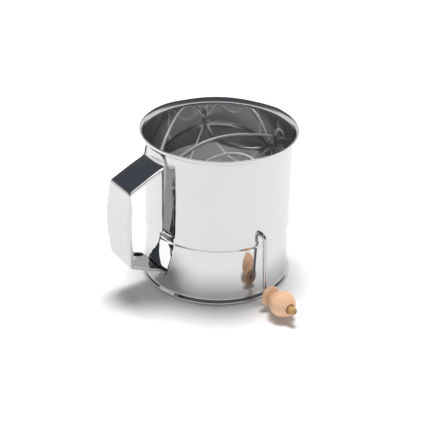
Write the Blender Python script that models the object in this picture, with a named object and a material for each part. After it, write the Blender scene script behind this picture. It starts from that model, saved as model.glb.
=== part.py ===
"""Hand-cranked flour sifter: a rolled steel can with a strap handle, a wire-mesh dome
hung inside on a hoop, and a four-wire agitator turned by a bent wire crank with a
turned wooden knob.

Lengths below are in millimetres; the objects are made in metres, +Z up.
Working frame: the can's axis is Z, the base is z = 0, the handle points to -X and the
crank shaft runs along Y with the knob on the -Y side. FRAME_X and FRAME_Y move the
working frame so that the scene origin is under the middle of the whole outline.
"""

import math

import bpy
from mathutils import Vector

# ---------------------------------------------------------------- driving dimensions
CAN_R = 54.0            # outer radius of the wall
CAN_H = 115.9           # overall height, base bead to rim bead
WALL = 0.6              # sheet thickness
RIM_R, RIM_T = 55.55, 1.4      # rim bead: centre radius, tube radius
BASE_R, BASE_T = 55.2, 1.4     # base bead
RIB_Z, RIB_W, RIB_D = 46.2, 5.0, 0.65   # outward rib: height, width, how far it stands proud
GAP = 0.3               # running gap between separate pieces

HANDLE_W = 26.9         # strap width where it meets the can
HANDLE_GRIP = 29.4      # strap width in the middle of the grip
HANDLE_TAB = 22.5       # width of the tabs' free ends
HANDLE_T = 0.7          # strap thickness
FLANK = 4.2             # how far the strap's side edges turn in, at the grip
HANDLE_OUT = 85.5       # furthest reach of the handle from the can's axis
# outer face of the strap in the plane of the handle: (distance from the can's axis, height, corner radius)
HANDLE_PATH = [
    (55.05, 111.2, 0.0), (55.05, 103.6, 2.4), (82.4, 90.2, 4.0), (HANDLE_OUT, 70.0, 60.0),
    (HANDLE_OUT, 51.0, 60.0), (83.0, 31.0, 4.5), (55.05, 18.6, 2.0), (55.05, 12.4, 0.0),
]

SHAFT_Z = 54.0          # height of the crank shaft
WIRE_R = 1.5            # crank wire radius
HOLE_R = 1.85           # shaft holes in the wall
SHAFT_REAR = 56.6       # rear end of the shaft beyond the can's axis
ARM_TOP = 59.0          # distance of the crank arm from the can's axis, at the shaft
LEAN = 4.5              # degrees: the arm leans outwards and the knob pin points up by as much
BALL_OUT, BALL_Z = 82.9, 11.2  # ball centre: distance from the can's axis, height, arm hanging down
BEND_R = 3.4            # bend radius of the crank wire
BALL_R = 9.5            # knob ball
BALL_AT = 15.7          # ball centre, from the collar's inner face
PIN_LEN = 23.4          # end of the knob pin, from the collar's inner face
PLUG_R = 2.75           # end plug
PLUG_TIP = 29.8         # outermost point of the plug, from the collar's inner face

CAGE_R = 41.7           # agitator: perpendicular reach of each wire at mid span
CAGE_S = 42.7           # half span of each wire along the shaft
CAGE_TILT = 45.5        # degrees, first wire from straight up towards +X
AGIT_R = 1.0            # agitator wire radius
HUB_R, HUB_L, HUB_AT = 5.0, 4.0, 46.6   # hub discs: radius, length, centre from the can's axis
WASHER_R, WASHER_L = 4.6, 0.7

HOOP_R, HOOP_T = 52.35, 1.1    # screen hoop, sitting in the rib's groove
DOME_EDGE_R, DOME_EDGE_Z = 52.0, 44.6   # edge of the mesh dome
DOME_LOW = 8.8          # lowest point of the dome's outside
DOME_T = 0.6            # thickness of the woven mesh

SEG_CAN = 64            # facets round the can

# direction of the knob's axis, and the knob's origin at the collar's inner face
PIN_OUT, PIN_UP = math.cos(math.radians(LEAN)), math.sin(math.radians(LEAN))
KNOB_OUT, KNOB_Z = BALL_OUT - BALL_AT * PIN_OUT, BALL_Z - BALL_AT * PIN_UP
PLUG_PROFILE = [(0.0, PIN_LEN + GAP), (PLUG_R, PIN_LEN + GAP), (PLUG_R, PLUG_TIP - 1.2), (PLUG_R * 0.82, PLUG_TIP - 0.4),
                (PLUG_R * 0.4, PLUG_TIP), (0.0, PLUG_TIP)]

# the outline's middle, in the working frame
X_LO, X_HI = -HANDLE_OUT, RIM_R + RIM_T
Y_LO, Y_HI = -(KNOB_OUT + max(h * PIN_OUT + r * PIN_UP for r, h in PLUG_PROFILE)), RIM_R + RIM_T
FRAME_X = -(X_LO + X_HI) / 2.0
FRAME_Y = -(Y_LO + Y_HI) / 2.0


# ---------------------------------------------------------------- scene helpers
for obj in list(bpy.data.objects):
    bpy.data.objects.remove(obj, do_unlink=True)


def material(name, colour, rough, metal):
    m = bpy.data.materials.new(name)
    m.use_nodes = True
    b = m.node_tree.nodes["Principled BSDF"]
    b.inputs["Base Color"].default_value = (*colour, 1.0)
    b.inputs["Roughness"].default_value = rough
    b.inputs["Metallic"].default_value = metal
    return m


def place(p):
    """working-frame millimetres to scene metres"""
    return Vector(((p[0] + FRAME_X) * 0.001, (p[1] + FRAME_Y) * 0.001, p[2] * 0.001))


def empty(name, at, parent=None):
    e = bpy.data.objects.new(name, None)
    bpy.context.scene.collection.objects.link(e)
    e.location = place(at)
    if parent is not None:
        e.parent = parent
        e.location = place(at) - parent.matrix_world.translation
    bpy.context.view_layer.update()
    return e


def build(name, verts, faces, mat, pivot=(0.0, 0.0, 0.0), parent=None, sharp=38.0):
    """One closed body. verts are in working-frame millimetres; the object's origin is pivot."""
    origin = place(pivot)
    mesh = bpy.data.meshes.new(name)
    mesh.from_pydata([tuple(place(v) - origin) for v in verts], [], faces)
    mesh.validate()
    mesh.update()
    mesh.shade_smooth()
    mesh.set_sharp_from_angle(angle=math.radians(sharp))
    obj = bpy.data.objects.new(name, mesh)
    bpy.context.scene.collection.objects.link(obj)
    obj.data.materials.append(mat)
    obj.location = origin
    if parent is not None:
        obj.parent = parent
        obj.location = origin - parent.matrix_world.translation
    return obj


def turned(profile, seg, axis_point=(0.0, 0.0, 0.0), axis="Z"):
    """A turned body. profile is a closed outline of (radius, distance along the axis), counter-clockwise
    with radius to the right. Points at radius 0 become one shared point on the axis."""
    verts, rings = [], []

    def put(r, h, a):
        c, s = r * math.cos(a), r * math.sin(a)
        if axis == "Z":
            q = (c, s, h)
        elif axis == "-Y":         # distance grows towards -Y
            q = (c, -h, s)
        else:                      # "pin": along the knob's axis
            q = (c, -h * PIN_OUT + s * PIN_UP, h * PIN_UP + s * PIN_OUT)
        verts.append((axis_point[0] + q[0], axis_point[1] + q[1], axis_point[2] + q[2]))
        return len(verts) - 1

    for r, h in profile:
        if r < 1e-9:
            rings.append([put(0.0, h, 0.0)] * seg)
        else:
            rings.append([put(r, h, 2.0 * math.pi * i / seg) for i in range(seg)])
    faces = []
    count = len(profile)
    for k in range(count):
        a, b = rings[k], rings[(k + 1) % count]
        for i in range(seg):
            j = (i + 1) % seg
            quad = [a[i], a[j], b[j], b[i]]
            face = [v for n, v in enumerate(quad) if v not in quad[:n]]
            if len(face) >= 3:
                faces.append(face)
    return verts, faces


def arc_corner(points):
    """Points (x, y, corner radius) to a polyline with its corners rounded."""
    out = []
    for i, (x, y, rad) in enumerate(points):
        p = Vector((x, y))
        if rad <= 0.0 or i in (0, len(points) - 1):
            out.append(p)
            continue
        a = (Vector(points[i - 1][:2]) - p).normalized()
        b = (Vector(points[i + 1][:2]) - p).normalized()
        half = a.angle(b) / 2.0
        reach = rad / math.tan(half)
        centre = p + (a + b).normalized() * (rad / math.sin(half))
        start, end = p + a * reach, p + b * reach
        a0 = math.atan2(start.y - centre.y, start.x - centre.x)
        a1 = math.atan2(end.y - centre.y, end.x - centre.x)
        turn = (a1 - a0 + math.pi) % (2.0 * math.pi) - math.pi
        steps = max(2, int(abs(turn) / math.radians(20.0)) + 1)
        for k in range(steps + 1):
            t = a0 + turn * k / steps
            out.append(centre + Vector((math.cos(t), math.sin(t))) * rad)
    return out


def round_bend(points, radius, steps=4):
    """3-D polyline with every inner corner bent to the radius."""
    out = [Vector(points[0])]
    for i in range(1, len(points) - 1):
        p = Vector(points[i])
        a = (Vector(points[i - 1]) - p).normalized()
        b = (Vector(points[i + 1]) - p).normalized()
        half = a.angle(b) / 2.0
        reach = radius / math.tan(half)
        centre = p + (a + b).normalized() * (radius / math.sin(half))
        start, end = p + a * reach, p + b * reach
        u, v = start - centre, end - centre
        whole = u.angle(v)
        for k in range(steps + 1):
            t = k / steps
            out.append(centre + (u * math.sin((1 - t) * whole) + v * math.sin(t * whole)) / math.sin(whole))
    out.append(Vector(points[-1]))
    return out


def wire(points, radius, sides, nose=0.3):
    """A round wire along 3-D points, with chamfered ends."""
    pts = [Vector(p) for p in points]
    first = (pts[1] - pts[0]).normalized()
    last = (pts[-1] - pts[-2]).normalized()
    path = [(pts[0], radius - nose), (pts[0] + first * nose, radius)]
    path += [(p, radius) for p in pts[1:-1]]
    path += [(pts[-1] - last * nose, radius), (pts[-1], radius - nose)]
    verts, rings = [], []
    tangent = first
    side = tangent.orthogonal().normalized()
    for i, (p, r) in enumerate(path):
        if 0 < i < len(path) - 1:
            new = ((path[i + 1][0] - p).normalized() + (p - path[i - 1][0]).normalized()).normalized()
        else:
            new = first if i == 0 else last
        side = (tangent.rotation_difference(new) @ side)
        side = (side - new * side.dot(new)).normalized()
        tangent = new
        other = new.cross(side)
        ring = []
        for k in range(sides):
            a = 2.0 * math.pi * k / sides
            verts.append(tuple(p + side * (r * math.cos(a)) + other * (r * math.sin(a))))
            ring.append(len(verts) - 1)
        rings.append(ring)
    faces = [list(reversed(rings[0])), list(rings[-1])]
    for a, b in zip(rings, rings[1:]):
        for k in range(sides):
            n = (k + 1) % sides
            faces.append([a[k], a[n], b[n], b[k]])
    return verts, faces


steel = material("stainless_polished", (0.80, 0.80, 0.81), 0.08, 1.0)
steel_wire = material("stainless_wire", (0.72, 0.72, 0.73), 0.18, 1.0)
steel_mesh = material("stainless_mesh", (0.58, 0.58, 0.58), 0.35, 1.0)
beech = material("turned_beech", (0.78, 0.54, 0.33), 0.5, 0.0)
beech_end = material("beech_end_grain", (0.68, 0.42, 0.18), 0.45, 0.0)

crank_axis = empty("crank_axis", (0.0, 0.0, SHAFT_Z))
knob_axis = empty("knob_axis", (0.0, -KNOB_OUT, KNOB_Z), crank_axis)


# ---------------------------------------------------------------- can
def can_profile():
    outer, inner = CAN_R, CAN_R - WALL
    zt = CAN_H - RIM_T
    lo, hi = RIB_Z - RIB_W / 2.0, RIB_Z + RIB_W / 2.0
    return [
        # base bead, with a flat land underneath
        (inner, 2.6), (53.5, 0.9), (54.05, 0.25), (54.85, 0.0), (55.55, 0.0),
        (56.2, 0.4), (56.6, 1.4), (56.2, 2.4), (55.2, 2.8), (outer + 0.1, 2.35),
        # wall and rib, outside
        (outer, 2.9), (outer, lo), (outer + RIB_D * 0.75, RIB_Z - 1.1), (outer + RIB_D * 0.75, RIB_Z + 1.1),
        (outer, hi), (outer, CAN_H - 3.5),
        # rim bead
        (RIM_R - 1.0, zt - 1.05), (RIM_R, zt - RIM_T), (RIM_R + 1.1, zt - 0.85), (RIM_R + RIM_T, zt),
        (RIM_R + 1.1, zt + 0.9), (RIM_R, zt + RIM_T), (RIM_R - 1.15, zt + 0.85), (inner, zt - 0.6),
        # wall and rib, inside
        (inner, hi), (inner + RIB_D * 0.75, RIB_Z + 1.1), (inner + RIB_D * 0.75, RIB_Z - 1.1), (inner, lo),
    ]


v, f = turned(can_profile(), SEG_CAN)
can = build("can_body", v, f, steel)

for tag, y in (("front", -CAN_R), ("rear", CAN_R)):
    v, f = turned([(0.0, -3.0), (HOLE_R, -3.0), (HOLE_R, 3.0), (0.0, 3.0)], 16, (0.0, y, SHAFT_Z), "-Y")
    cutter = build("cut_shaft_hole_" + tag, v, f, steel, (0.0, y, SHAFT_Z))
    cutter.hide_render = True
    cutter.display_type = "WIRE"
    hole = can.modifiers.new("shaft_hole_" + tag, "BOOLEAN")
    hole.operation = "DIFFERENCE"
    hole.solver = "EXACT"
    hole.object = cutter


# ---------------------------------------------------------------- handle
def smooth(t):
    t = max(0.0, min(1.0, t))
    return t * t * (3.0 - 2.0 * t)


def strap_shape(p):
    """Half width and edge turn-in of the strap at a point (distance, height) of its outer face."""
    if p.x < 56.0:                                  # tabs
        free = max((p.y - 103.0) / 8.2, (18.8 - p.y) / 6.4, 0.0)
        return (HANDLE_W + (HANDLE_TAB - HANDLE_W) * smooth(free)) / 2.0, 0.0
    grip = smooth((p.x - 74.0) / 8.0) * math.sin(math.pi * max(0.0, min(1.0, (p.y - 24.0) / 68.0))) ** 0.9
    half = (HANDLE_W + (HANDLE_GRIP - HANDLE_W) * grip) / 2.0
    # shallow edges along the arms and through the bends, full depth along the grip
    deep = smooth((87.0 - p.y) / 9.0) * smooth((p.y - 35.0) / 9.0) if p.x > 74.0 else 0.0
    turn = smooth((p.x - 55.6) / 5.0) * (0.55 + 0.45 * deep)
    return half, turn


def handle_mesh():
    line = arc_corner(HANDLE_PATH)
    # more stations where an arm meets the round wall, so it can follow the wall's curve
    dense = [line[0]]
    for a, b in zip(line, line[1:]):
        span = (b - a).length
        near = min(a.x, b.x) < 62.0 and span > 9.0
        steps = 4 if near else (2 if span > 8.0 else 1)
        for k in range(1, steps + 1):
            dense.append(a.lerp(b, k / steps))
    # across the strap: (share of the half width, share of the turn-in)
    across = [(-1.0, 1.0), (-0.985, 0.55), (-0.90, 0.2), (-0.74, 0.06), (-0.38, 0.0), (0.0, 0.0),
              (0.38, 0.0), (0.74, 0.06), (0.90, 0.2), (0.985, 0.55), (1.0, 1.0)]
    verts, rings = [], []
    count = len(dense)
    for i, p in enumerate(dense):
        a = dense[max(i - 1, 0)]
        b = dense[min(i + 1, count - 1)]
        t = ((p - a).normalized() + (b - p).normalized()).normalized() if 0 < i < count - 1 else (b - a).normalized()
        n = Vector((-t.y, t.x))                 # away from the finger gap
        if i in (0, count - 1):
            n = Vector((1.0, 0.0))
        follow = smooth(1.0 - (p.x - 55.05) / 13.0)
        half, turn = strap_shape(p)
        row = [Vector((u * half, -d * turn * FLANK)) for u, d in across]
        inner = []
        for k, q in enumerate(row):
            d = (row[min(k + 1, len(row) - 1)] - row[max(k - 1, 0)]).normalized()
            inner.append(q + Vector((d.y, -d.x)) * HANDLE_T)
        ring = []
        for u, d in [tuple(q) for q in row] + [tuple(q) for q in reversed(inner)]:
            q = p + n * d
            bow = 54.35 - math.sqrt(54.35 ** 2 - u * u)
            verts.append((-(q.x - follow * bow), u, q.y))
            ring.append(len(verts) - 1)
        rings.append(ring)
    m = len(rings[0])
    faces = []
    for a, b in zip(rings, rings[1:]):
        for k in range(m):
            j = (k + 1) % m
            faces.append([a[j], b[j], b[k], a[k]])
    # end faces as strips between the outer row and the inner row
    for k in range(len(across) - 1):
        strip = (k, k + 1, m - 2 - k, m - 1 - k)
        faces.append([rings[0][j] for j in reversed(strip)])
        faces.append([rings[-1][j] for j in strip])
    return verts, faces


v, f = handle_mesh()
handle = build("handle", v, f, steel)


# ---------------------------------------------------------------- screen
def circle_profile(r, z, t, sides, start=0.0):
    return [(r + t * math.cos(2 * math.pi * (k + start) / sides), z + t * math.sin(2 * math.pi * (k + start) / sides)) for k in range(sides)]


v, f = turned(circle_profile(HOOP_R, RIB_Z, HOOP_T, 8), 48)
build("screen_hoop", v, f, steel_wire)


def dome_profile():
    depth = DOME_EDGE_Z - DOME_LOW
    ball = (DOME_EDGE_R ** 2 + depth ** 2) / (2.0 * depth)
    centre = DOME_LOW + ball
    edge = math.asin(DOME_EDGE_R / ball)
    steps = 7
    outside = [(ball * math.sin(edge * k / steps), centre - ball * math.cos(edge * k / steps)) for k in range(steps + 1)]
    thin = ball - DOME_T
    inside = [(thin * math.sin(edge * k / steps), centre - thin * math.cos(edge * k / steps)) for k in range(steps, -1, -1)]
    return outside + inside


v, f = turned(dome_profile(), 40)
build("screen_mesh", v, f, steel_mesh)


# ---------------------------------------------------------------- crank
# the arm leans by LEAN and the pin is square to it
rise = math.tan(math.radians(LEAN))
arm_low = (ARM_TOP + rise * (SHAFT_Z - KNOB_Z + rise * KNOB_OUT)) / (1.0 + rise * rise)   # where arm and pin cross
arm_low_z = KNOB_Z - rise * (KNOB_OUT - arm_low)
crank_line = round_bend([
    (0.0, SHAFT_REAR, SHAFT_Z), (0.0, -ARM_TOP, SHAFT_Z), (0.0, -arm_low, arm_low_z),
    (0.0, -(KNOB_OUT + PIN_LEN * PIN_OUT), KNOB_Z + PIN_LEN * PIN_UP),
], BEND_R)
v, f = wire(crank_line, WIRE_R, 12)
build("crank_rod", v, f, steel_wire, (0.0, 0.0, SHAFT_Z), crank_axis)

for tag, sign in (("front", -1.0), ("rear", 1.0)):
    y = sign * HUB_AT
    hub_bore = WIRE_R + GAP
    profile = [(hub_bore, -HUB_L / 2), (HUB_R - 0.5, -HUB_L / 2), (HUB_R, -HUB_L / 2 + 0.5),
               (HUB_R, HUB_L / 2 - 0.5), (HUB_R - 0.5, HUB_L / 2), (hub_bore, HUB_L / 2)]
    v, f = turned(profile, 20, (0.0, y, SHAFT_Z), "-Y")
    build(tag + "_hub", v, f, steel_wire, (0.0, y, SHAFT_Z), crank_axis)
    y = sign * (HUB_AT + HUB_L / 2 + GAP + WASHER_L / 2 + 0.2)
    profile = [(hub_bore, -WASHER_L / 2), (WASHER_R, -WASHER_L / 2), (WASHER_R, WASHER_L / 2), (hub_bore, WASHER_L / 2)]
    v, f = turned(profile, 20, (0.0, y, SHAFT_Z), "-Y")
    build(tag + "_washer", v, f, steel_wire, (0.0, y, SHAFT_Z), crank_axis)


def cage_line(angle_deg, steps=16):
    """Bowed wire from the front hub to the rear hub, in a plane through the shaft."""
    a = math.radians(angle_deg)
    root = HUB_R + GAP
    pts = [(-HUB_AT, root), (-HUB_AT + 0.25, root + 1.5)]
    for k in range(1, steps):
        t = math.pi * k / steps
        pts.append((-CAGE_S * math.cos(t), root + (CAGE_R - root) * math.sin(t) ** 1.2))
    pts += [(HUB_AT - 0.25, root + 1.5), (HUB_AT, root)]
    return [(r * math.sin(a), s, SHAFT_Z + r * math.cos(a)) for s, r in pts]


for i in range(4):
    v, f = wire(cage_line(CAGE_TILT + 90.0 * i), AGIT_R, 8, 0.2)
    build("agitator_wire_%d" % (i + 1), v, f, steel_wire, (0.0, 0.0, SHAFT_Z), crank_axis)


# ---------------------------------------------------------------- knob
def knob_profile():
    bore = WIRE_R + GAP
    plug_hole = PLUG_R + GAP
    flat = 3.6                                  # the ball is faced off round the plug
    end = BALL_AT + math.sqrt(BALL_R ** 2 - flat ** 2)
    pts = [(bore, 0.0), (5.7, 0.0), (7.0, 0.6), (7.6, 1.7), (7.65, 3.1), (7.2, 4.4), (6.1, 5.2), (4.85, 5.7), (4.7, 6.4), (5.0, 7.05)]
    start = math.atan2(5.6, -(BALL_R ** 2 - 5.6 ** 2) ** 0.5)      # ball, from its neck side
    stop = math.atan2(flat, (BALL_R ** 2 - flat ** 2) ** 0.5)
    steps = 10
    for k in range(steps + 1):
        a = start + (stop - start) * k / steps
        pts.append((BALL_R * math.sin(a), BALL_AT + BALL_R * math.cos(a)))
    pts += [(plug_hole, end), (plug_hole, PIN_LEN - 2.6), (bore, PIN_LEN - 2.6)]
    return pts


collar = (0.0, -KNOB_OUT, KNOB_Z)
v, f = turned(knob_profile(), 32, collar, "pin")
build("crank_knob", v, f, beech, collar, knob_axis)

v, f = turned(PLUG_PROFILE, 20, collar, "pin")
build("knob_end_plug", v, f, beech_end, collar, knob_axis)

nut_out = PIN_LEN - 1.0
v, f = turned([(WIRE_R + 0.25, nut_out - 0.8), (2.6, nut_out - 0.8), (2.6, nut_out), (WIRE_R + 0.25, nut_out)], 16, collar, "pin")
build("knob_push_nut", v, f, steel_wire, collar, knob_axis)
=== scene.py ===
"""Looks for the hand-cranked flour sifter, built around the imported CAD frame.

Lengths in the helpers are working millimetres: the can's axis is Z, the handle points
to -X and the crank runs along Y with the knob on the -Y side. P() moves them to the row
frame in metres.
"""
import math

import bmesh
import bpy
import numpy as np
from mathutils import Matrix, Vector


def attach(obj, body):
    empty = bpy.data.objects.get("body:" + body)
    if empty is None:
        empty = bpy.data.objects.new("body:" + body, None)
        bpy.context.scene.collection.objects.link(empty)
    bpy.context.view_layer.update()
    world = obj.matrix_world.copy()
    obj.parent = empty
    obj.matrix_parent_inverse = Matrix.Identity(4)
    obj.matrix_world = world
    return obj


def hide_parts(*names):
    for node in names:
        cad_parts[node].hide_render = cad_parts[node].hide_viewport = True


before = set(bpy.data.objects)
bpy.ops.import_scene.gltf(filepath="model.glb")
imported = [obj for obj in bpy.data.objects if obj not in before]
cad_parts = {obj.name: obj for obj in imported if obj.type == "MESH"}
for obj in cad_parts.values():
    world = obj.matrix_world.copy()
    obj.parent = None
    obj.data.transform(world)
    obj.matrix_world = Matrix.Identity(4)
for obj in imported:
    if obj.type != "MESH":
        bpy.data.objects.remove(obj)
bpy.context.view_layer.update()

# ------------------------------------------------------------------ sizes (mm)
FX, FY = 14.275, 20.0464
CAN_R, WALL, CAN_H = 54.0, 0.6, 115.9
IN_R = CAN_R - WALL
RIB_Z = 46.2
SEAM_AZ = 185.0                     # lap seam, degrees from +X
HANDLE_W, HANDLE_GRIP, HANDLE_TAB = 26.9, 29.4, 22.5
HANDLE_T, FLANK, HANDLE_OUT = 0.7, 4.2, 85.5
HANDLE_PATH = [
    (55.05, 111.2, 0.0), (55.05, 103.6, 2.4), (82.4, 90.2, 4.0), (HANDLE_OUT, 70.0, 60.0),
    (HANDLE_OUT, 51.0, 60.0), (83.0, 31.0, 4.5), (55.05, 18.6, 2.0), (55.05, 12.4, 0.0),
]
SHAFT_Z, WIRE_R, HOLE_R, SHAFT_REAR, ARM_TOP, LEAN = 54.0, 1.5, 1.85, 56.6, 59.0, 4.5
BALL_OUT, BALL_Z, BEND_R, BALL_R, BALL_AT = 82.9, 11.2, 3.4, 9.5, 15.7
PIN_LEN, PLUG_R, PLUG_TIP = 23.4, 2.75, 29.8
CAGE_R, CAGE_S, CAGE_TILT, AGIT_R = 41.7, 42.7, 45.5, 1.0
HUB_R, HUB_L, HUB_AT = 5.0, 4.0, 46.6
WASHER_R, WASHER_L, GAP = 4.6, 0.7, 0.3
HOOP_R, HOOP_T = 52.35, 1.1
DOME_EDGE_R, DOME_EDGE_Z, DOME_LOW, DOME_T = 52.0, 44.6, 8.8, 0.6
PIN_OUT, PIN_UP = math.cos(math.radians(LEAN)), math.sin(math.radians(LEAN))
KNOB_OUT, KNOB_Z = BALL_OUT - BALL_AT * PIN_OUT, BALL_Z - BALL_AT * PIN_UP


def P(p):
    return ((p[0] + FX) * 0.001, (p[1] + FY) * 0.001, p[2] * 0.001)


# ------------------------------------------------------------------ mesh helpers
def add_mesh(name, verts, faces, mat, body, nodes=(), sharp=None, local=False):
    mesh = bpy.data.meshes.new(name)
    mesh.from_pydata([tuple(v) for v in verts] if local else [P(v) for v in verts], [], faces)
    mesh.validate()
    mesh.update()
    mesh.shade_smooth()
    if sharp:
        mesh.set_sharp_from_angle(angle=math.radians(sharp))
    obj = bpy.data.objects.new(name, mesh)
    bpy.context.scene.collection.objects.link(obj)
    obj.data.materials.append(mat)
    if not local:
        wear(obj, body, nodes)
    return obj


def wear(obj, body, nodes):
    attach(obj, body)
    if nodes:
        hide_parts(*nodes)


def lathe(profile, angles, closed=True):
    """profile: closed outline of (radius, height), counter-clockwise with radius to the right."""
    verts, rings = [], []
    n = len(angles)
    for r, h in profile:
        if r < 1e-7:
            verts.append((0.0, 0.0, h))
            rings.append([len(verts) - 1] * n)
        else:
            start = len(verts)
            verts += [(r * math.cos(a), r * math.sin(a), h) for a in angles]
            rings.append(list(range(start, start + n)))
    faces = []
    m = len(profile)
    for k in range(m if closed else m - 1):
        a, b = rings[k], rings[(k + 1) % m]
        for i in range(n):
            j = (i + 1) % n
            quad = [a[i], a[j], b[j], b[i]]
            face = [v for q, v in enumerate(quad) if v not in quad[:q]]
            if len(face) >= 3:
                faces.append(face)
    return verts, faces


def even(n):
    return [2.0 * math.pi * i / n for i in range(n)]


def ellipse(cr, cz, a, b, start, stop, steps):
    out = []
    for k in range(steps + 1):
        t = math.radians(start + (stop - start) * k / steps)
        out.append((cr + a * math.cos(t), cz + b * math.sin(t)))
    return out


def curve_through(points, per=8):
    """Catmull-Rom through 2-D or 3-D points."""
    pts = [Vector(p) for p in points]
    ext = [pts[0] * 2 - pts[1]] + pts + [pts[-1] * 2 - pts[-2]]
    out = []
    for i in range(1, len(ext) - 2):
        a, b, c, d = ext[i - 1], ext[i], ext[i + 1], ext[i + 2]
        for k in range(per):
            t = k / per
            out.append(0.5 * ((2 * b) + (c - a) * t + (2 * a - 5 * b + 4 * c - d) * t * t + (3 * b - a - 3 * c + d) * t ** 3))
    out.append(pts[-1])
    return out


def round_bend(points, radius, steps=12):
    out = [Vector(points[0])]
    for i in range(1, len(points) - 1):
        p = Vector(points[i])
        a = (Vector(points[i - 1]) - p).normalized()
        b = (Vector(points[i + 1]) - p).normalized()
        half = a.angle(b) / 2.0
        reach = radius / math.tan(half)
        centre = p + (a + b).normalized() * (radius / math.sin(half))
        u, v = p + a * reach - centre, p + b * reach - centre
        whole = u.angle(v)
        for k in range(steps + 1):
            t = k / steps
            out.append(centre + (u * math.sin((1 - t) * whole) + v * math.sin(t * whole)) / math.sin(whole))
    out.append(Vector(points[-1]))
    return out


def tube(points, radius, sides, nose=0.0):
    """Round wire through 3-D points. nose rounds the two ends."""
    pts = [Vector(p) for p in points]
    first, last = (pts[1] - pts[0]).normalized(), (pts[-1] - pts[-2]).normalized()
    path = []
    if nose > 0.0:
        path = [(pts[0] + first * nose * (1 - math.cos(math.pi / 2 * k / 4)), radius - nose * (1 - math.sin(math.pi / 2 * k / 4))) for k in range(5)]
        path += [(p, radius) for p in pts[1:-1]]
        path += [(pts[-1] - last * nose * (1 - math.cos(math.pi / 2 * k / 4)), radius - nose * (1 - math.sin(math.pi / 2 * k / 4))) for k in range(4, -1, -1)]
    else:
        path = [(p, radius) for p in pts]
    verts, rings = [], []
    tangent = first
    side = tangent.orthogonal().normalized()
    for i, (p, r) in enumerate(path):
        if 0 < i < len(path) - 1:
            d = (path[i + 1][0] - p)
            e = (p - path[i - 1][0])
            new = (d.normalized() + e.normalized())
            new = new.normalized() if new.length > 1e-9 else tangent
        else:
            new = first if i == 0 else last
        side = tangent.rotation_difference(new) @ side
        side = (side - new * side.dot(new)).normalized()
        tangent = new
        other = new.cross(side)
        ring = []
        for k in range(sides):
            a = 2.0 * math.pi * k / sides
            verts.append(tuple(p + side * (r * math.cos(a)) + other * (r * math.sin(a))))
            ring.append(len(verts) - 1)
        rings.append(ring)
    faces = [list(reversed(rings[0])), list(rings[-1])]
    for a, b in zip(rings, rings[1:]):
        for k in range(sides):
            n = (k + 1) % sides
            faces.append([a[k], a[n], b[n], b[k]])
    return verts, faces


def smooth(t):
    t = max(0.0, min(1.0, t))
    return t * t * (3.0 - 2.0 * t)


# ------------------------------------------------------------------ materials
class Nodes:
    def __init__(self, name):
        self.mat = bpy.data.materials.new(name)
        self.mat.use_nodes = True
        self.tree = self.mat.node_tree
        self.bsdf = self.tree.nodes["Principled BSDF"]

    def new(self, kind, **inputs):
        n = self.tree.nodes.new(kind)
        for k, v in inputs.items():
            if hasattr(n, k) and k not in [i.name for i in n.inputs]:
                setattr(n, k, v)
            else:
                n.inputs[k.replace("_", " ")].default_value = v
        return n

    def link(self, a, b):
        self.tree.links.new(a, b)

    def coords(self, scale=(1, 1, 1), kind="Object"):
        tc = self.tree.nodes.new("ShaderNodeTexCoord")
        m = self.tree.nodes.new("ShaderNodeMapping")
        m.inputs["Scale"].default_value = scale
        self.link(tc.outputs[kind], m.inputs["Vector"])
        return m.outputs["Vector"]

    def noise(self, vec, scale, detail=2.0, rough=0.5, distortion=0.0):
        n = self.tree.nodes.new("ShaderNodeTexNoise")
        n.inputs["Scale"].default_value = scale
        n.inputs["Detail"].default_value = detail
        n.inputs["Roughness"].default_value = rough
        n.inputs["Distortion"].default_value = distortion
        self.link(vec, n.inputs["Vector"])
        return n.outputs["Fac"]

    def ramp(self, fac, stops):
        r = self.tree.nodes.new("ShaderNodeValToRGB")
        el = r.color_ramp.elements
        while len(el) > 1:
            el.remove(el[-1])
        el[0].position, el[0].color = stops[0][0], stops[0][1]
        for pos, col in stops[1:]:
            e = el.new(pos)
            e.color = col
        self.link(fac, r.inputs["Fac"])
        return r.outputs["Color"]

    def span(self, fac, lo, hi, in_lo=0.0, in_hi=1.0):
        m = self.tree.nodes.new("ShaderNodeMapRange")
        m.inputs["From Min"].default_value, m.inputs["From Max"].default_value = in_lo, in_hi
        m.inputs["To Min"].default_value, m.inputs["To Max"].default_value = lo, hi
        self.link(fac, m.inputs["Value"])
        return m.outputs["Result"]

    def math(self, op, a, b):
        m = self.tree.nodes.new("ShaderNodeMath")
        m.operation = op
        for i, v in enumerate((a, b)):
            if isinstance(v, (int, float)):
                m.inputs[i].default_value = v
            else:
                self.link(v, m.inputs[i])
        return m.outputs[0]

    def mix(self, fac, a, b, blend="MIX"):
        m = self.tree.nodes.new("ShaderNodeMix")
        m.data_type, m.blend_type = "RGBA", blend
        for sock, v in ((m.inputs[0], fac), (m.inputs[6], a), (m.inputs[7], b)):
            if isinstance(v, (int, float)):
                sock.default_value = v
            elif isinstance(v, tuple):
                sock.default_value = v
            else:
                self.link(v, sock)
        return m.outputs[2]

    def bump(self, height, distance, strength=1.0, under=None):
        b = self.tree.nodes.new("ShaderNodeBump")
        b.inputs["Strength"].default_value = strength
        b.inputs["Distance"].default_value = distance
        self.link(height, b.inputs["Height"])
        if under is not None:
            self.link(under, b.inputs["Normal"])
        return b.outputs["Normal"]


def rgb(r, g, b):
    return (r, g, b, 1.0)


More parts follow.
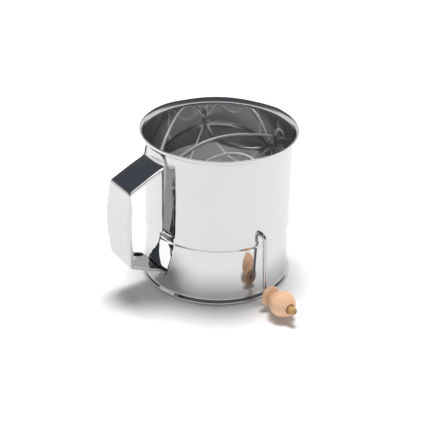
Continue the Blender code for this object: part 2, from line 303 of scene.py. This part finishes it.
def steel_sheet(name, tint=(0.60, 0.60, 0.605), rough=(0.020, 0.045), wave=0.00005, inner=0.0):
    """Bright-polished stainless sheet: slow waviness from forming, faint polishing hairlines round the can, soft smudges."""
    m = Nodes(name)
    vec = m.coords()
    lines = m.coords(scale=(0.35, 0.35, 26.0))
    slow = m.noise(vec, 21.0, 1.0, 0.4)
    mid = m.noise(vec, 75.0, 2.0, 0.5)
    hair = m.noise(lines, 210.0, 3.0, 0.65)
    smudge = m.noise(vec, 34.0, 4.0, 0.62, 0.6)
    grain = m.noise(vec, 1700.0, 2.0, 0.6)
    r = m.span(smudge, rough[0], rough[1], 0.35, 0.70)
    r = m.math("ADD", r, m.span(hair, -0.010, 0.014, 0.3, 0.7))
    m.link(r, m.bsdf.inputs["Roughness"])
    col = m.mix(m.span(smudge, 0.0, 1.0, 0.3, 0.75), rgb(*tint), rgb(tint[0] * 0.955, tint[1] * 0.953, tint[2] * 0.948))
    m.bsdf.inputs["Metallic"].default_value = 1.0
    if inner:                                   # the inside is painted brighter than the outside, painted light that lifts its dark reflections, and set slightly duller
        sep = m.tree.nodes.new("ShaderNodeSeparateXYZ")
        m.link(m.tree.nodes.new("ShaderNodeTexCoord").outputs["Object"], sep.inputs[0])
        dx, dy = m.math("SUBTRACT", sep.outputs["X"], FX * 0.001), m.math("SUBTRACT", sep.outputs["Y"], FY * 0.001)
        span2 = m.math("ADD", m.math("MULTIPLY", dx, dx), m.math("MULTIPLY", dy, dy))
        inside = m.math("LESS_THAN", span2, (inner * 0.001) ** 2)
        col = m.mix(inside, col, rgb(0.655, 0.66, 0.67))
        m.link(m.span(inside, 1.0, 0.87, 0.0, 1.0), m.bsdf.inputs["Metallic"])
    m.link(col, m.bsdf.inputs["Base Color"])
    n = m.bump(slow, wave, 1.0)
    n = m.bump(mid, wave * 0.04, 1.0, n)
    n = m.bump(hair, 0.0000011, 1.0, n)
    n = m.bump(grain, 0.0000004, 1.0, n)
    m.link(n, m.bsdf.inputs["Normal"])
    m.bsdf.inputs["Specular Tint"].default_value = rgb(0.88, 0.88, 0.885)
    return m.mat


def steel_wire(name, tint=(0.50, 0.50, 0.505), rough=(0.11, 0.20), metal=1.0):
    """Bright drawn wire: fine die lines and a slightly dull, patchy surface."""
    m = Nodes(name)
    vec = m.coords()
    patch = m.noise(vec, 160.0, 3.0, 0.6)
    fine = m.noise(m.coords(scale=(1.0, 0.12, 0.12)), 3800.0, 2.0, 0.6)
    m.link(m.math("ADD", m.span(patch, rough[0], rough[1], 0.3, 0.7), m.span(fine, -0.02, 0.03, 0.3, 0.7)), m.bsdf.inputs["Roughness"])
    m.link(m.mix(m.span(patch, 0.0, 1.0, 0.3, 0.7), rgb(*tint), rgb(tint[0] * 0.9, tint[1] * 0.9, tint[2] * 0.9)), m.bsdf.inputs["Base Color"])
    m.link(m.bump(fine, 0.000003, 1.0, m.bump(patch, 0.00002, 1.0)), m.bsdf.inputs["Normal"])
    m.bsdf.inputs["Metallic"].default_value = metal
    return m.mat


def mesh_wire(name):
    """Thin woven wire: duller, with a little tone variation from wire to wire."""
    m = Nodes(name)
    vec = m.coords()
    patch = m.noise(vec, 60.0, 3.0, 0.6)
    fine = m.noise(vec, 2400.0, 2.0, 0.6)
    m.link(m.span(patch, 0.38, 0.50, 0.3, 0.7), m.bsdf.inputs["Roughness"])
    m.link(m.mix(m.span(fine, 0.0, 1.0, 0.3, 0.7), rgb(0.33, 0.33, 0.325), rgb(0.25, 0.25, 0.245)), m.bsdf.inputs["Base Color"])
    m.link(m.bump(fine, 0.000005, 1.0), m.bsdf.inputs["Normal"])
    m.bsdf.inputs["Metallic"].default_value = 1.0
    return m.mat


def beech(name, light, dark, fleck, axis_len=26.0):
    """Turned beech, grain along local Z: soft growth bands, short dark pores and rays, lathe rings and a thin wax sheen."""
    m = Nodes(name)
    along = m.coords(scale=(1.0, 1.0, 0.16))
    vec = m.coords()
    bands = m.tree.nodes.new("ShaderNodeTexWave")
    bands.wave_type, bands.bands_direction = "BANDS", "X"
    bands.inputs["Scale"].default_value = 150.0
    bands.inputs["Distortion"].default_value = 7.0
    bands.inputs["Detail"].default_value = 2.0
    bands.inputs["Detail Scale"].default_value = 1.6
    m.link(along, bands.inputs["Vector"])
    cloud = m.noise(along, 120.0, 3.0, 0.55)
    pores = m.noise(m.coords(scale=(1.0, 1.0, 0.07)), 2600.0, 2.0, 0.5)
    rays = m.noise(m.coords(scale=(0.8, 2.2, 0.10)), 1150.0, 1.0, 0.5)
    base = m.mix(m.span(bands.outputs["Fac"], 0.0, 0.62, 0.15, 0.95), rgb(*light), rgb(*dark))
    base = m.mix(m.span(cloud, 0.0, 0.55, 0.35, 0.75), base, rgb(*(c * 0.86 for c in dark)))
    base = m.mix(m.span(rays, 0.0, 0.46, 0.57, 0.70), base, rgb(*fleck))
    base = m.mix(m.span(pores, 0.0, 0.50, 0.60, 0.76), base, rgb(*(c * 0.72 for c in fleck)))
    m.link(base, m.bsdf.inputs["Base Color"])
    m.link(m.span(cloud, 0.36, 0.52, 0.3, 0.7), m.bsdf.inputs["Roughness"])
    rings = m.noise(m.coords(scale=(0.02, 0.02, 1.0)), 2300.0, 2.0, 0.6)
    n = m.bump(pores, 0.000022, 0.8)
    n = m.bump(rings, 0.000018, 0.8, n)
    n = m.bump(cloud, 0.00008, 0.6, n)
    m.link(n, m.bsdf.inputs["Normal"])
    m.bsdf.inputs["Coat Weight"].default_value = 0.12
    m.bsdf.inputs["Coat Roughness"].default_value = 0.32
    m.bsdf.inputs["Subsurface Weight"].default_value = 0.0
    return m.mat


sheet = steel_sheet("polished_sheet", inner=IN_R + 0.3)
strap_steel = steel_sheet("polished_strap", tint=(0.58, 0.58, 0.583), rough=(0.03, 0.06), wave=0.00006)
wire_steel = steel_wire("drawn_wire")
agit_steel = steel_wire("drawn_wire_thin", tint=(0.95, 0.95, 0.95), rough=(0.34, 0.44), metal=0.66)
cloth_steel = mesh_wire("wire_cloth")
wood = beech("turned_beech", (0.83, 0.545, 0.358), (0.72, 0.435, 0.262), (0.44, 0.22, 0.105))
wood_end = beech("end_plug", (0.54, 0.32, 0.130), (0.42, 0.225, 0.080), (0.26, 0.11, 0.03))


# ------------------------------------------------------------------ can
def can_angles():
    seg = 360
    s = math.radians(SEAM_AZ)
    base = [2 * math.pi * i / seg for i in range(seg)]
    near = [s + math.radians(d) for d in (-0.24, -0.10, -0.03, 0.03, 0.10, 0.24)]
    inner = [s - math.radians(8.5) + math.radians(d) for d in (-0.24, -0.06, 0.06, 0.24)]
    keep = [a for a in base if min(abs((a - q + math.pi) % (2 * math.pi) - math.pi) for q in near + inner) > math.radians(0.35)]
    return sorted([a % (2 * math.pi) for a in keep + near + inner])


def lap(az, z, outside):
    """How far the sheet stands out where it laps over itself: a step at the seam that fades over some 25 degrees."""
    ends = smooth((z - 4.9) / 2.5) * smooth((112.6 - z) / 2.5)
    if outside:
        d = (math.degrees(az) - SEAM_AZ) % 360.0
        return 0.13 * ends * (1.0 - smooth(d / 26.0)) if d < 180 else 0.0
    d = (SEAM_AZ - 8.5 - math.degrees(az)) % 360.0
    return -0.12 * ends * (1.0 - smooth(d / 26.0)) if d < 180 else 0.0


def can_profile():
    def rib(r0, depth, zs):
        return [(r0 + depth * smooth((z - 43.2) / 2.4) * smooth((49.2 - z) / 2.4), z) for z in zs]
    rib_z = [43.0, 43.2, 43.5, 43.8, 44.1, 44.4, 44.7, 45.0, 45.3, 45.6, 45.9, 46.2, 46.5, 46.8, 47.1, 47.4, 47.7, 48.0, 48.3, 48.6, 48.9, 49.2, 49.4]
    pts = []
    # base bead, rolled outwards, with a small flat land underneath
    pts += [(IN_R, 2.3), (IN_R, 1.1), (IN_R + 0.12, 0.5), (IN_R + 0.5, 0.1), (IN_R + 1.0, 0.0)]
    pts += [(r, max(z, 0.0)) for r, z in curve_through([(55.3, 0.0), (55.85, 0.12), (56.17, 0.45), (56.26, 0.95), (56.22, 1.55), (56.08, 2.02), (55.75, 2.36),
                                                        (55.30, 2.66), (54.85, 2.98), (54.42, 3.32), (54.13, 3.70), (CAN_R, 4.2)], 4)]
    pts += [(CAN_R, z) for z in np.linspace(8.0, 42.0, 8)]
    pts += rib(CAN_R, 0.45, rib_z)
    pts += [(CAN_R, z) for z in np.linspace(52.0, 110.0, 12)]
    pts += [(CAN_R, 111.9), (CAN_R + 0.04, 112.6), (CAN_R + 0.22, 113.0)]
    pts += ellipse(56.02, 114.0, 0.93, 0.95, -140, 0, 14)
    pts += ellipse(56.35, 115.3, 0.60, 0.60, 0, 125, 16)
    pts += [tuple(q) for q in curve_through([(55.65, 115.55), (54.9, 114.75), (54.25, 113.75), (53.8, 112.95), (53.5, 112.25), (53.41, 111.7)], 6)]
    pts += [(IN_R, z) for z in np.linspace(110.0, 52.0, 12)]
    pts += rib(IN_R, 0.38, rib_z[::-1])
    pts += [(IN_R, z) for z in np.linspace(42.0, 8.0, 8)]
    pts += [(IN_R, 4.0)]
    return pts


def make_can():
    profile, angles = can_profile(), can_angles()
    verts, faces = lathe(profile, angles)
    n = len(angles)
    out = []
    for k, (r, z) in enumerate(profile):
        outside = abs(r - CAN_R) < 0.75 and 3.0 < z < 113.0 and r > IN_R + 0.55
        inside = abs(r - IN_R) < 0.55 and 3.0 < z < 113.0 and not outside
        for i in range(n):
            v = Vector(verts[k * n + i])
            if outside or inside:
                d = lap(angles[i], z, outside)
                f = (r + d) / r
                v = Vector((v.x * f, v.y * f, v.z))
            out.append(v)
    return out, faces


v, f = make_can()
can = add_mesh("can_shell", v, f, sheet, "can", ["can_body"])
for y in (-CAN_R, CAN_R):
    bm = bmesh.new()
    bmesh.ops.create_cone(bm, cap_ends=True, segments=40, radius1=HOLE_R * 0.001, radius2=HOLE_R * 0.001, depth=0.008)
    cut = bpy.data.meshes.new("hole_cut")
    bm.to_mesh(cut)
    bm.free()
    cutter = bpy.data.objects.new("hole_cut", cut)
    bpy.context.scene.collection.objects.link(cutter)
    cutter.matrix_world = Matrix.Translation(P((0, y, SHAFT_Z))) @ Matrix.Rotation(math.pi / 2, 4, "X")
    mod = can.modifiers.new("hole", "BOOLEAN")
    mod.operation, mod.solver, mod.object = "DIFFERENCE", "EXACT", cutter
    bpy.context.view_layer.update()
    dg = bpy.context.evaluated_depsgraph_get()
    done = bpy.data.meshes.new_from_object(can.evaluated_get(dg))
    can.modifiers.clear()
    can.data = done
    bpy.data.objects.remove(cutter, do_unlink=True)
can.data.shade_smooth()
can.data.set_sharp_from_angle(angle=math.radians(42))


# ------------------------------------------------------------------ handle
def arc_corner(points, step=4.0):
    out = []
    for i, (x, y, rad) in enumerate(points):
        p = Vector((x, y))
        if rad <= 0.0 or i in (0, len(points) - 1):
            out.append(p)
            continue
        a = (Vector(points[i - 1][:2]) - p).normalized()
        b = (Vector(points[i + 1][:2]) - p).normalized()
        half = a.angle(b) / 2.0
        reach = rad / math.tan(half)
        centre = p + (a + b).normalized() * (rad / math.sin(half))
        start, end = p + a * reach, p + b * reach
        a0 = math.atan2(start.y - centre.y, start.x - centre.x)
        a1 = math.atan2(end.y - centre.y, end.x - centre.x)
        turn = (a1 - a0 + math.pi) % (2.0 * math.pi) - math.pi
        steps = max(6, int(abs(turn) / math.radians(step)) + 1)
        for k in range(steps + 1):
            t = a0 + turn * k / steps
            out.append(centre + Vector((math.cos(t), math.sin(t))) * rad)
    return out


def strap_shape(p, run, total):
    if p.x < 56.0:
        free = max((p.y - 103.0) / 8.2, (18.8 - p.y) / 6.4, 0.0)
        half = (HANDLE_W + (HANDLE_TAB - HANDLE_W) * smooth(free)) / 2.0
        end = min(run, total - run)
        if end < 2.2:                       # rounded corners of the tabs
            half -= 2.2 - math.sqrt(max(2.2 ** 2 - (2.2 - end) ** 2, 0.0))
        return half, 0.0
    grip = smooth((p.x - 74.0) / 8.0) * math.sin(math.pi * max(0.0, min(1.0, (p.y - 24.0) / 68.0))) ** 0.9
    half = (HANDLE_W + (HANDLE_GRIP - HANDLE_W) * grip) / 2.0
    deep = smooth((87.0 - p.y) / 9.0) * smooth((p.y - 35.0) / 9.0) if p.x > 74.0 else 0.0
    turn = smooth((p.x - 55.6) / 5.0) * (0.55 + 0.45 * deep)
    return half, turn


def strap_section(half, turn):
    """Outer line of the strap: a barely crowned face, rounded shoulders, and edges turned in."""
    rc = 1.3
    flat = half - rc
    pts = []
    for k in range(13):
        u = -flat + 2 * flat * k / 12
        pts.append((u, 0.16 * (u / half) ** 2 * turn))
    edge = pts[-1][1]
    arc = [(flat + rc * math.sin(t), edge + (rc * (1 - math.cos(t))) * turn) for t in np.linspace(0.0, math.pi / 2, 11)[1:]]
    drop = max(FLANK * turn - (edge + rc * turn), 0.0)
    low = [(half, edge + rc * turn + drop * 0.5 + 0.001), (half - 0.02 - 0.05 * drop, edge + rc * turn + drop + 0.002)]
    right = arc + low
    left = [(-u, d) for u, d in reversed(right)]
    return [Vector((u, -d)) for u, d in left + pts + right]


def make_handle():
    line = arc_corner(HANDLE_PATH)
    dense = [line[0]]
    for a, b in zip(line, line[1:]):
        steps = max(1, int((b - a).length / 1.1))
        for k in range(1, steps + 1):
            dense.append(a.lerp(b, k / steps))
    runs = [0.0]
    for a, b in zip(dense, dense[1:]):
        runs.append(runs[-1] + (b - a).length)
    verts, rings = [], []
    count = len(dense)
    for i, p in enumerate(dense):
        a, b = dense[max(i - 1, 0)], dense[min(i + 1, count - 1)]
        t = ((p - a).normalized() + (b - p).normalized()).normalized() if 0 < i < count - 1 else (b - a).normalized()
        n = Vector((-t.y, t.x))
        if i in (0, count - 1):
            n = Vector((1.0, 0.0))
        follow = smooth(1.0 - (p.x - 55.05) / 13.0)
        half, turn = strap_shape(p, runs[i], runs[-1])
        row = strap_section(half, turn)
        inner = []
        for k, q in enumerate(row):
            d = (row[min(k + 1, len(row) - 1)] - row[max(k - 1, 0)]).normalized()
            inner.append(q + Vector((d.y, -d.x)) * HANDLE_T)
        ring = []
        for u, d in [tuple(q) for q in row] + [tuple(q) for q in reversed(inner)]:
            q = p + n * d
            bow = 54.35 - math.sqrt(54.35 ** 2 - u * u)
            verts.append((-(q.x - follow * bow), u, q.y))
            ring.append(len(verts) - 1)
        rings.append(ring)
    m = len(rings[0])
    faces = []
    for a, b in zip(rings, rings[1:]):
        for k in range(m):
            j = (k + 1) % m
            faces.append([a[j], b[j], b[k], a[k]])
    half_count = m // 2
    for k in range(half_count - 1):
        strip = (k, k + 1, m - 2 - k, m - 1 - k)
        faces.append([rings[0][j] for j in reversed(strip)])
        faces.append([rings[-1][j] for j in strip])
    return verts, faces


v, f = make_handle()
handle = add_mesh("strap_handle", v, f, strap_steel, "can", ["handle"], sharp=48)


# ------------------------------------------------------------------ screen
def at_z(verts, z):
    return [(x, y, zz + z) for x, y, zz in verts]


v, f = lathe([(HOOP_R + HOOP_T * math.cos(t), HOOP_T * math.sin(t)) for t in even(14)], even(160))
add_mesh("hoop_wire", at_z(v, RIB_Z), f, wire_steel, "can", ["screen_hoop"])

depth = DOME_EDGE_Z - DOME_LOW
ball = (DOME_EDGE_R ** 2 + depth ** 2) / (2.0 * depth)
ball_z = DOME_LOW + ball
mid_r = ball - DOME_T / 2.0
edge_angle = math.asin(DOME_EDGE_R / ball)
edge_arc = mid_r * edge_angle


def dome_point(u, w, lift):
    """A flat disc's point (u, w) pressed onto the dome; lift is outwards from the dome's skin."""
    rho = math.hypot(u, w)
    th = rho / mid_r
    r = mid_r + lift
    if rho < 1e-9:
        return Vector((0, 0, ball_z - r))
    return Vector((r * math.sin(th) * u / rho, r * math.sin(th) * w / rho, ball_z - r * math.cos(th)))


def make_cloth(pitch=1.55, wr=0.15, amp=0.145):
    verts, faces = [], []
    count = int(edge_arc / pitch)
    for way in (0, 1):
        for i in range(-count, count + 1):
            c = i * pitch
            reach = math.sqrt(max(edge_arc ** 2 - c * c, 0.0))
            m = int(reach / pitch)
            if m < 2:
                continue
            pts = []
            for j in range(-m, m + 1):
                s = 1.0 if (i + j + way) % 2 == 0 else -1.0
                q = j * pitch
                pts.append(dome_point(c, q, amp * s) if way == 0 else dome_point(q, c, amp * s))
            end = reach
            for sign in (-1, 1):
                q = end * sign
                e = dome_point(c, q, 0.0) if way == 0 else dome_point(q, c, 0.0)
                if sign < 0:
                    pts.insert(0, e)
                else:
                    pts.append(e)
            base = len(verts)
            sides = 4
            for k, p in enumerate(pts):
                t = (pts[min(k + 1, len(pts) - 1)] - pts[max(k - 1, 0)]).normalized()
                nrm = (p - Vector((0, 0, ball_z))).normalized()
                side = t.cross(nrm).normalized()
                up = side.cross(t)
                for q in range(sides):
                    a = math.pi / 4 + 2 * math.pi * q / sides
                    verts.append(tuple(p + side * (wr * 1.12 * math.cos(a)) + up * (wr * 1.12 * math.sin(a))))
            for k in range(len(pts) - 1):
                for q in range(sides):
                    nq = (q + 1) % sides
                    a0, b0 = base + k * sides, base + (k + 1) * sides
                    faces.append([a0 + q, a0 + nq, b0 + nq, b0 + q])
            faces.append([base + q for q in reversed(range(sides))])
            faces.append([base + (len(pts) - 1) * sides + q for q in range(sides)])
    return verts, faces


v, f = make_cloth()
add_mesh("wire_cloth_dome", v, f, cloth_steel, "can", ["screen_mesh"])

# ------------------------------------------------------------------ crank
rise = math.tan(math.radians(LEAN))
arm_low = (ARM_TOP + rise * (SHAFT_Z - KNOB_Z + rise * KNOB_OUT)) / (1.0 + rise * rise)
arm_low_z = KNOB_Z - rise * (KNOB_OUT - arm_low)
line = round_bend([
    (0.0, SHAFT_REAR, SHAFT_Z), (0.0, -ARM_TOP, SHAFT_Z), (0.0, -arm_low, arm_low_z),
    (0.0, -(KNOB_OUT + PIN_LEN * PIN_OUT), KNOB_Z + PIN_LEN * PIN_UP)], BEND_R)
v, f = tube(line, WIRE_R, 28, nose=0.45)
add_mesh("crank_wire", v, f, wire_steel, "crank", ["crank_rod"], sharp=50)


def to_y(verts, y):
    """Turned about Z, laid along -Y at y."""
    return [(a, y - h, b + SHAFT_Z) for a, b, h in verts]


def rounded_disc(bore, outer, half, r, boss=0.0):
    pts = [(bore, -half), (outer - r, -half)]
    pts += ellipse(outer - r, -half + r, r, r, -90, 0, 5)[1:]
    pts += ellipse(outer - r, half - r, r, r, 0, 90, 5)
    pts += [(bore, half)]
    return pts


for tag, sign in (("front", -1.0), ("rear", 1.0)):
    y = sign * HUB_AT
    bore = WIRE_R + 0.02
    half = HUB_L / 2
    pts = [(bore, -half), (3.1, -half), (3.35, -half + 0.35), (4.2, -half + 0.35), (HUB_R - 0.35, -half + 0.35)]
    pts += ellipse(HUB_R - 0.4, -half + 0.75, 0.4, 0.4, -90, 0, 4)
    pts += ellipse(HUB_R - 0.4, half - 0.75, 0.4, 0.4, 0, 90, 4)
    pts += [(4.2, half - 0.35), (3.35, half - 0.35), (3.1, half), (bore, half)]
    v, f = lathe(pts, even(64))
    add_mesh(tag + "_hub_disc", to_y(v, y), f, wire_steel, "crank", [tag + "_hub"], sharp=40)
    y = sign * (HUB_AT + HUB_L / 2 + GAP + WASHER_L / 2 + 0.2)
    v, f = lathe(rounded_disc(WIRE_R + 0.12, WASHER_R, WASHER_L / 2, 0.14), even(64))
    add_mesh(tag + "_spacer", to_y(v, y), f, wire_steel, "crank", [tag + "_washer"], sharp=40)


def cage_line(angle_deg, steps=44):
    a = math.radians(angle_deg)
    root = HUB_R + GAP
    pts = [(-HUB_AT, HUB_R - 1.0), (-HUB_AT + 0.12, root + 0.6), (-HUB_AT + 0.5, root + 1.9)]
    for k in range(3, steps - 2):
        t = math.pi * k / steps
        pts.append((-CAGE_S * math.cos(t), root + (CAGE_R - root) * math.sin(t) ** 1.2))
    pts += [(HUB_AT - 0.5, root + 1.9), (HUB_AT - 0.12, root + 0.6), (HUB_AT, HUB_R - 1.0)]
    return [(r * math.sin(a), s, SHAFT_Z + r * math.cos(a)) for s, r in pts]


for i in range(4):
    line = curve_through(cage_line(CAGE_TILT + 90.0 * i), 2)
    v, f = tube(line, AGIT_R, 14)
    add_mesh("bowed_wire_%d" % (i + 1), v, f, agit_steel, "crank", ["agitator_wire_%d" % (i + 1)], sharp=60)

# ------------------------------------------------------------------ knob, in its own frame: local Z is the pin's axis
knob_frame = Matrix.Translation(P((0.0, -KNOB_OUT, KNOB_Z))) @ Matrix((
    (1, 0, 0, 0), (0, PIN_UP, -PIN_OUT, 0), (0, PIN_OUT, PIN_UP, 0), (0, 0, 0, 1)))


def knob_piece(name, profile, seg, mat, body, nodes, sharp=None, bend=None):
    v, f = lathe(profile, even(seg))
    v = [Vector(p) * 0.001 for p in v]
    obj = add_mesh(name, v, f, mat, body, sharp=sharp, local=True)
    obj.matrix_world = knob_frame
    bpy.context.view_layer.update()
    wear(obj, body, nodes)
    return obj


def knob_outline():
    flat = 3.75
    end = BALL_AT + math.sqrt(BALL_R ** 2 - flat ** 2)
    collar = curve_through([(5.4, 0.0), (6.3, 0.12), (7.1, 0.62), (7.58, 1.55), (7.68, 2.6), (7.40, 3.65), (6.70, 4.40), (5.75, 4.85),
                            (4.85, 5.20), (4.25, 5.65), (4.05, 6.20), (4.15, 6.75), (4.50, 7.15)], 6)
    pts = [(WIRE_R + 0.12, 0.25), (WIRE_R + 0.4, 0.0)] + [tuple(p) for p in collar]
    start = math.atan2(4.75, -math.sqrt(BALL_R ** 2 - 4.75 ** 2))
    stop = math.atan2(flat, math.sqrt(BALL_R ** 2 - flat ** 2))
    for k in range(1, 44):
        a = start + (stop - start) * k / 43
        pts.append((BALL_R * math.sin(a), BALL_AT + BALL_R * math.cos(a)))
    pts += [(3.64, end + 0.02), (3.54, end - 0.12), (3.46, end - 0.5), (PLUG_R + 0.50, end - 1.5), (PLUG_R + 0.18, PIN_LEN - 2.6), (WIRE_R + 0.12, PIN_LEN - 2.6)]
    return pts


knob_piece("turned_knob", knob_outline(), 128, wood, "knob", ["crank_knob"], sharp=55)
tip = PLUG_TIP - 0.2
knob_piece("end_plug", [(0.0, PIN_LEN + 0.3), (PLUG_R - 0.05, PIN_LEN + 0.3), (PLUG_R, PIN_LEN + 0.6), (PLUG_R, tip - 1.3), (PLUG_R * 0.98, tip - 0.9),
                        (PLUG_R * 0.92, tip - 0.50), (PLUG_R * 0.81, tip - 0.20), (PLUG_R * 0.66, tip - 0.04), (PLUG_R * 0.50, tip), (0.95, tip - 0.01),
                        (0.72, tip - 0.12), (0.60, tip - 0.9), (0.0, tip - 1.1)], 72, wood_end, "knob", ["knob_end_plug"], sharp=60)
nut = PIN_LEN - 1.0
knob_piece("push_nut", [(WIRE_R + 0.03, nut - 0.55), (1.95, nut - 0.8), (2.5, nut - 0.8), (2.62, nut - 0.68), (2.62, nut - 0.1), (2.5, nut), (1.95, nut), (WIRE_R + 0.03, nut - 0.28)],
           48, wire_steel, "crank", ["knob_push_nut"], sharp=40)

# ------------------------------------------------------------------ floor, light, camera
TURN = math.radians(-34.9)              # the view's right, turned into the row frame


def seen(x, y, z):
    """A point given in the view's own plan (x right, y away, z up, mm from the can's axis) in row metres."""
    c, s = math.cos(TURN), math.sin(TURN)
    return Vector(P((x * c - y * s, x * s + y * c, z)))


def seen_dir(x, y, z):
    c, s = math.cos(TURN), math.sin(TURN)
    return Vector((x * c - y * s, x * s + y * c, z))


bm = bmesh.new()
bmesh.ops.create_grid(bm, x_segments=8, y_segments=8, size=4.0)
ground = bpy.data.meshes.new("floor")
bm.to_mesh(ground)
bm.free()
floor = bpy.data.objects.new("floor", ground)
bpy.context.scene.collection.objects.link(floor)
floor.location = (0, 0, -0.00002)
fm = Nodes("pale_floor")
fn = fm.noise(fm.coords(), 5.0, 2.0)
fm.link(fm.mix(fm.span(fn, 0.0, 1.0, 0.3, 0.7), rgb(0.90, 0.90, 0.90), rgb(0.885, 0.885, 0.885)), fm.bsdf.inputs["Base Color"])
# painted light: the floor glows, none near the middle and rising outwards, so it stays white where the key softbox's
# light falls off
painted_glow_distance = fm.tree.nodes.new("ShaderNodeVectorMath")
painted_glow_distance.operation = "LENGTH"
fm.link(fm.coords(), painted_glow_distance.inputs[0])
fm.bsdf.inputs["Emission Color"].default_value = rgb(1.0, 1.0, 1.0)
fm.link(fm.span(painted_glow_distance.outputs["Value"], 0.0, 0.92, 0.12, 1.4), fm.bsdf.inputs["Emission Strength"])
fm.bsdf.inputs["Roughness"].default_value = 0.85
fm.bsdf.inputs["Specular IOR Level"].default_value = 0.2
floor.data.materials.append(fm.mat)

world = bpy.data.worlds.new("studio")
bpy.context.scene.world = world
world.use_nodes = True
wt = world.node_tree
bg = wt.nodes["Background"]
tc = wt.nodes.new("ShaderNodeTexCoord")
sep = wt.nodes.new("ShaderNodeSeparateXYZ")
wt.links.new(tc.outputs["Generated"], sep.inputs[0])
ramp = wt.nodes.new("ShaderNodeValToRGB")
wt.links.new(sep.outputs["Z"], ramp.inputs["Fac"])
el = ramp.color_ramp.elements
el[0].position, el[0].color = 0.0, (1.0, 1.0, 1.0, 1)
el[1].position, el[1].color = 1.0, (0.10, 0.105, 0.11, 1)
for pos, col in ((0.31, (1.0, 1.0, 1.0, 1)), (0.40, (0.36, 0.33, 0.31, 1)), (0.50, (0.15, 0.135, 0.125, 1)), (0.62, (0.088, 0.100, 0.118, 1))):
    e = el.new(pos)
    e.color = col
wt.links.new(ramp.outputs["Color"], bg.inputs["Color"])
bg.inputs["Strength"].default_value = 1.0


def softbox(name, at, aim, size, size_y, power, glossy=True, diffuse=True):
    light = bpy.data.lights.new(name, "AREA")
    light.shape, light.size, light.size_y, light.energy = "RECTANGLE", size, size_y, power
    obj = bpy.data.objects.new(name, light)
    bpy.context.scene.collection.objects.link(obj)
    obj.location = at
    obj.rotation_mode = "QUATERNION"
    obj.rotation_quaternion = (aim - at).to_track_quat("-Z", "Y")
    obj.visible_glossy = glossy
    obj.visible_diffuse = diffuse
    return obj


centre = seen(0, 0, 50)
key = softbox("key_softbox", seen(0, 170, 1345), seen(0, 170, 0), 0.62, 0.46, 24.8, glossy=False)
panel = softbox("top_panel", seen(-30, 330, 1300), seen(-30, 330, 0), 1.35, 0.85, 10.0, diffuse=False)
for light in (key, panel):                      # flat overhead, square to the view
    light.rotation_mode, light.rotation_euler = "XYZ", (0.0, 0.0, TURN)

c, s = math.cos, math.sin
E, DIST, F, TX, TZ, ROLL = 0.5120, 13.528 * 54.0, 976.55, -0.0684 * 54.0, 0.8441 * 54.0, 0.02355
back = Vector((0, -c(E), s(E)))
right, up = Vector((1, 0, 0)), Vector((0, s(E), c(E)))
r_axis = right * c(ROLL) + up * s(ROLL)
u_axis = right * -s(ROLL) + up * c(ROLL)
spot = Vector((TX, 0, TZ)) + back * DIST
cam_data = bpy.data.cameras.new("camera")
cam_data.sensor_fit, cam_data.sensor_width = "AUTO", 36.0
cam_data.lens = F / 425.0 * 36.0
cam_data.clip_start, cam_data.clip_end = 0.01, 50.0
cam = bpy.data.objects.new("camera", cam_data)
bpy.context.scene.collection.objects.link(cam)
X, Y, Z = seen_dir(*r_axis), seen_dir(*u_axis), seen_dir(*back)
m = Matrix((X, Y, Z)).transposed().to_4x4()
m.translation = seen(*spot)
cam.matrix_world = m
bpy.context.scene.camera = cam
bpy.context.scene.view_settings.view_transform = "Standard"
bpy.context.scene.view_settings.look = "None"

bpy.context.view_layer.update()
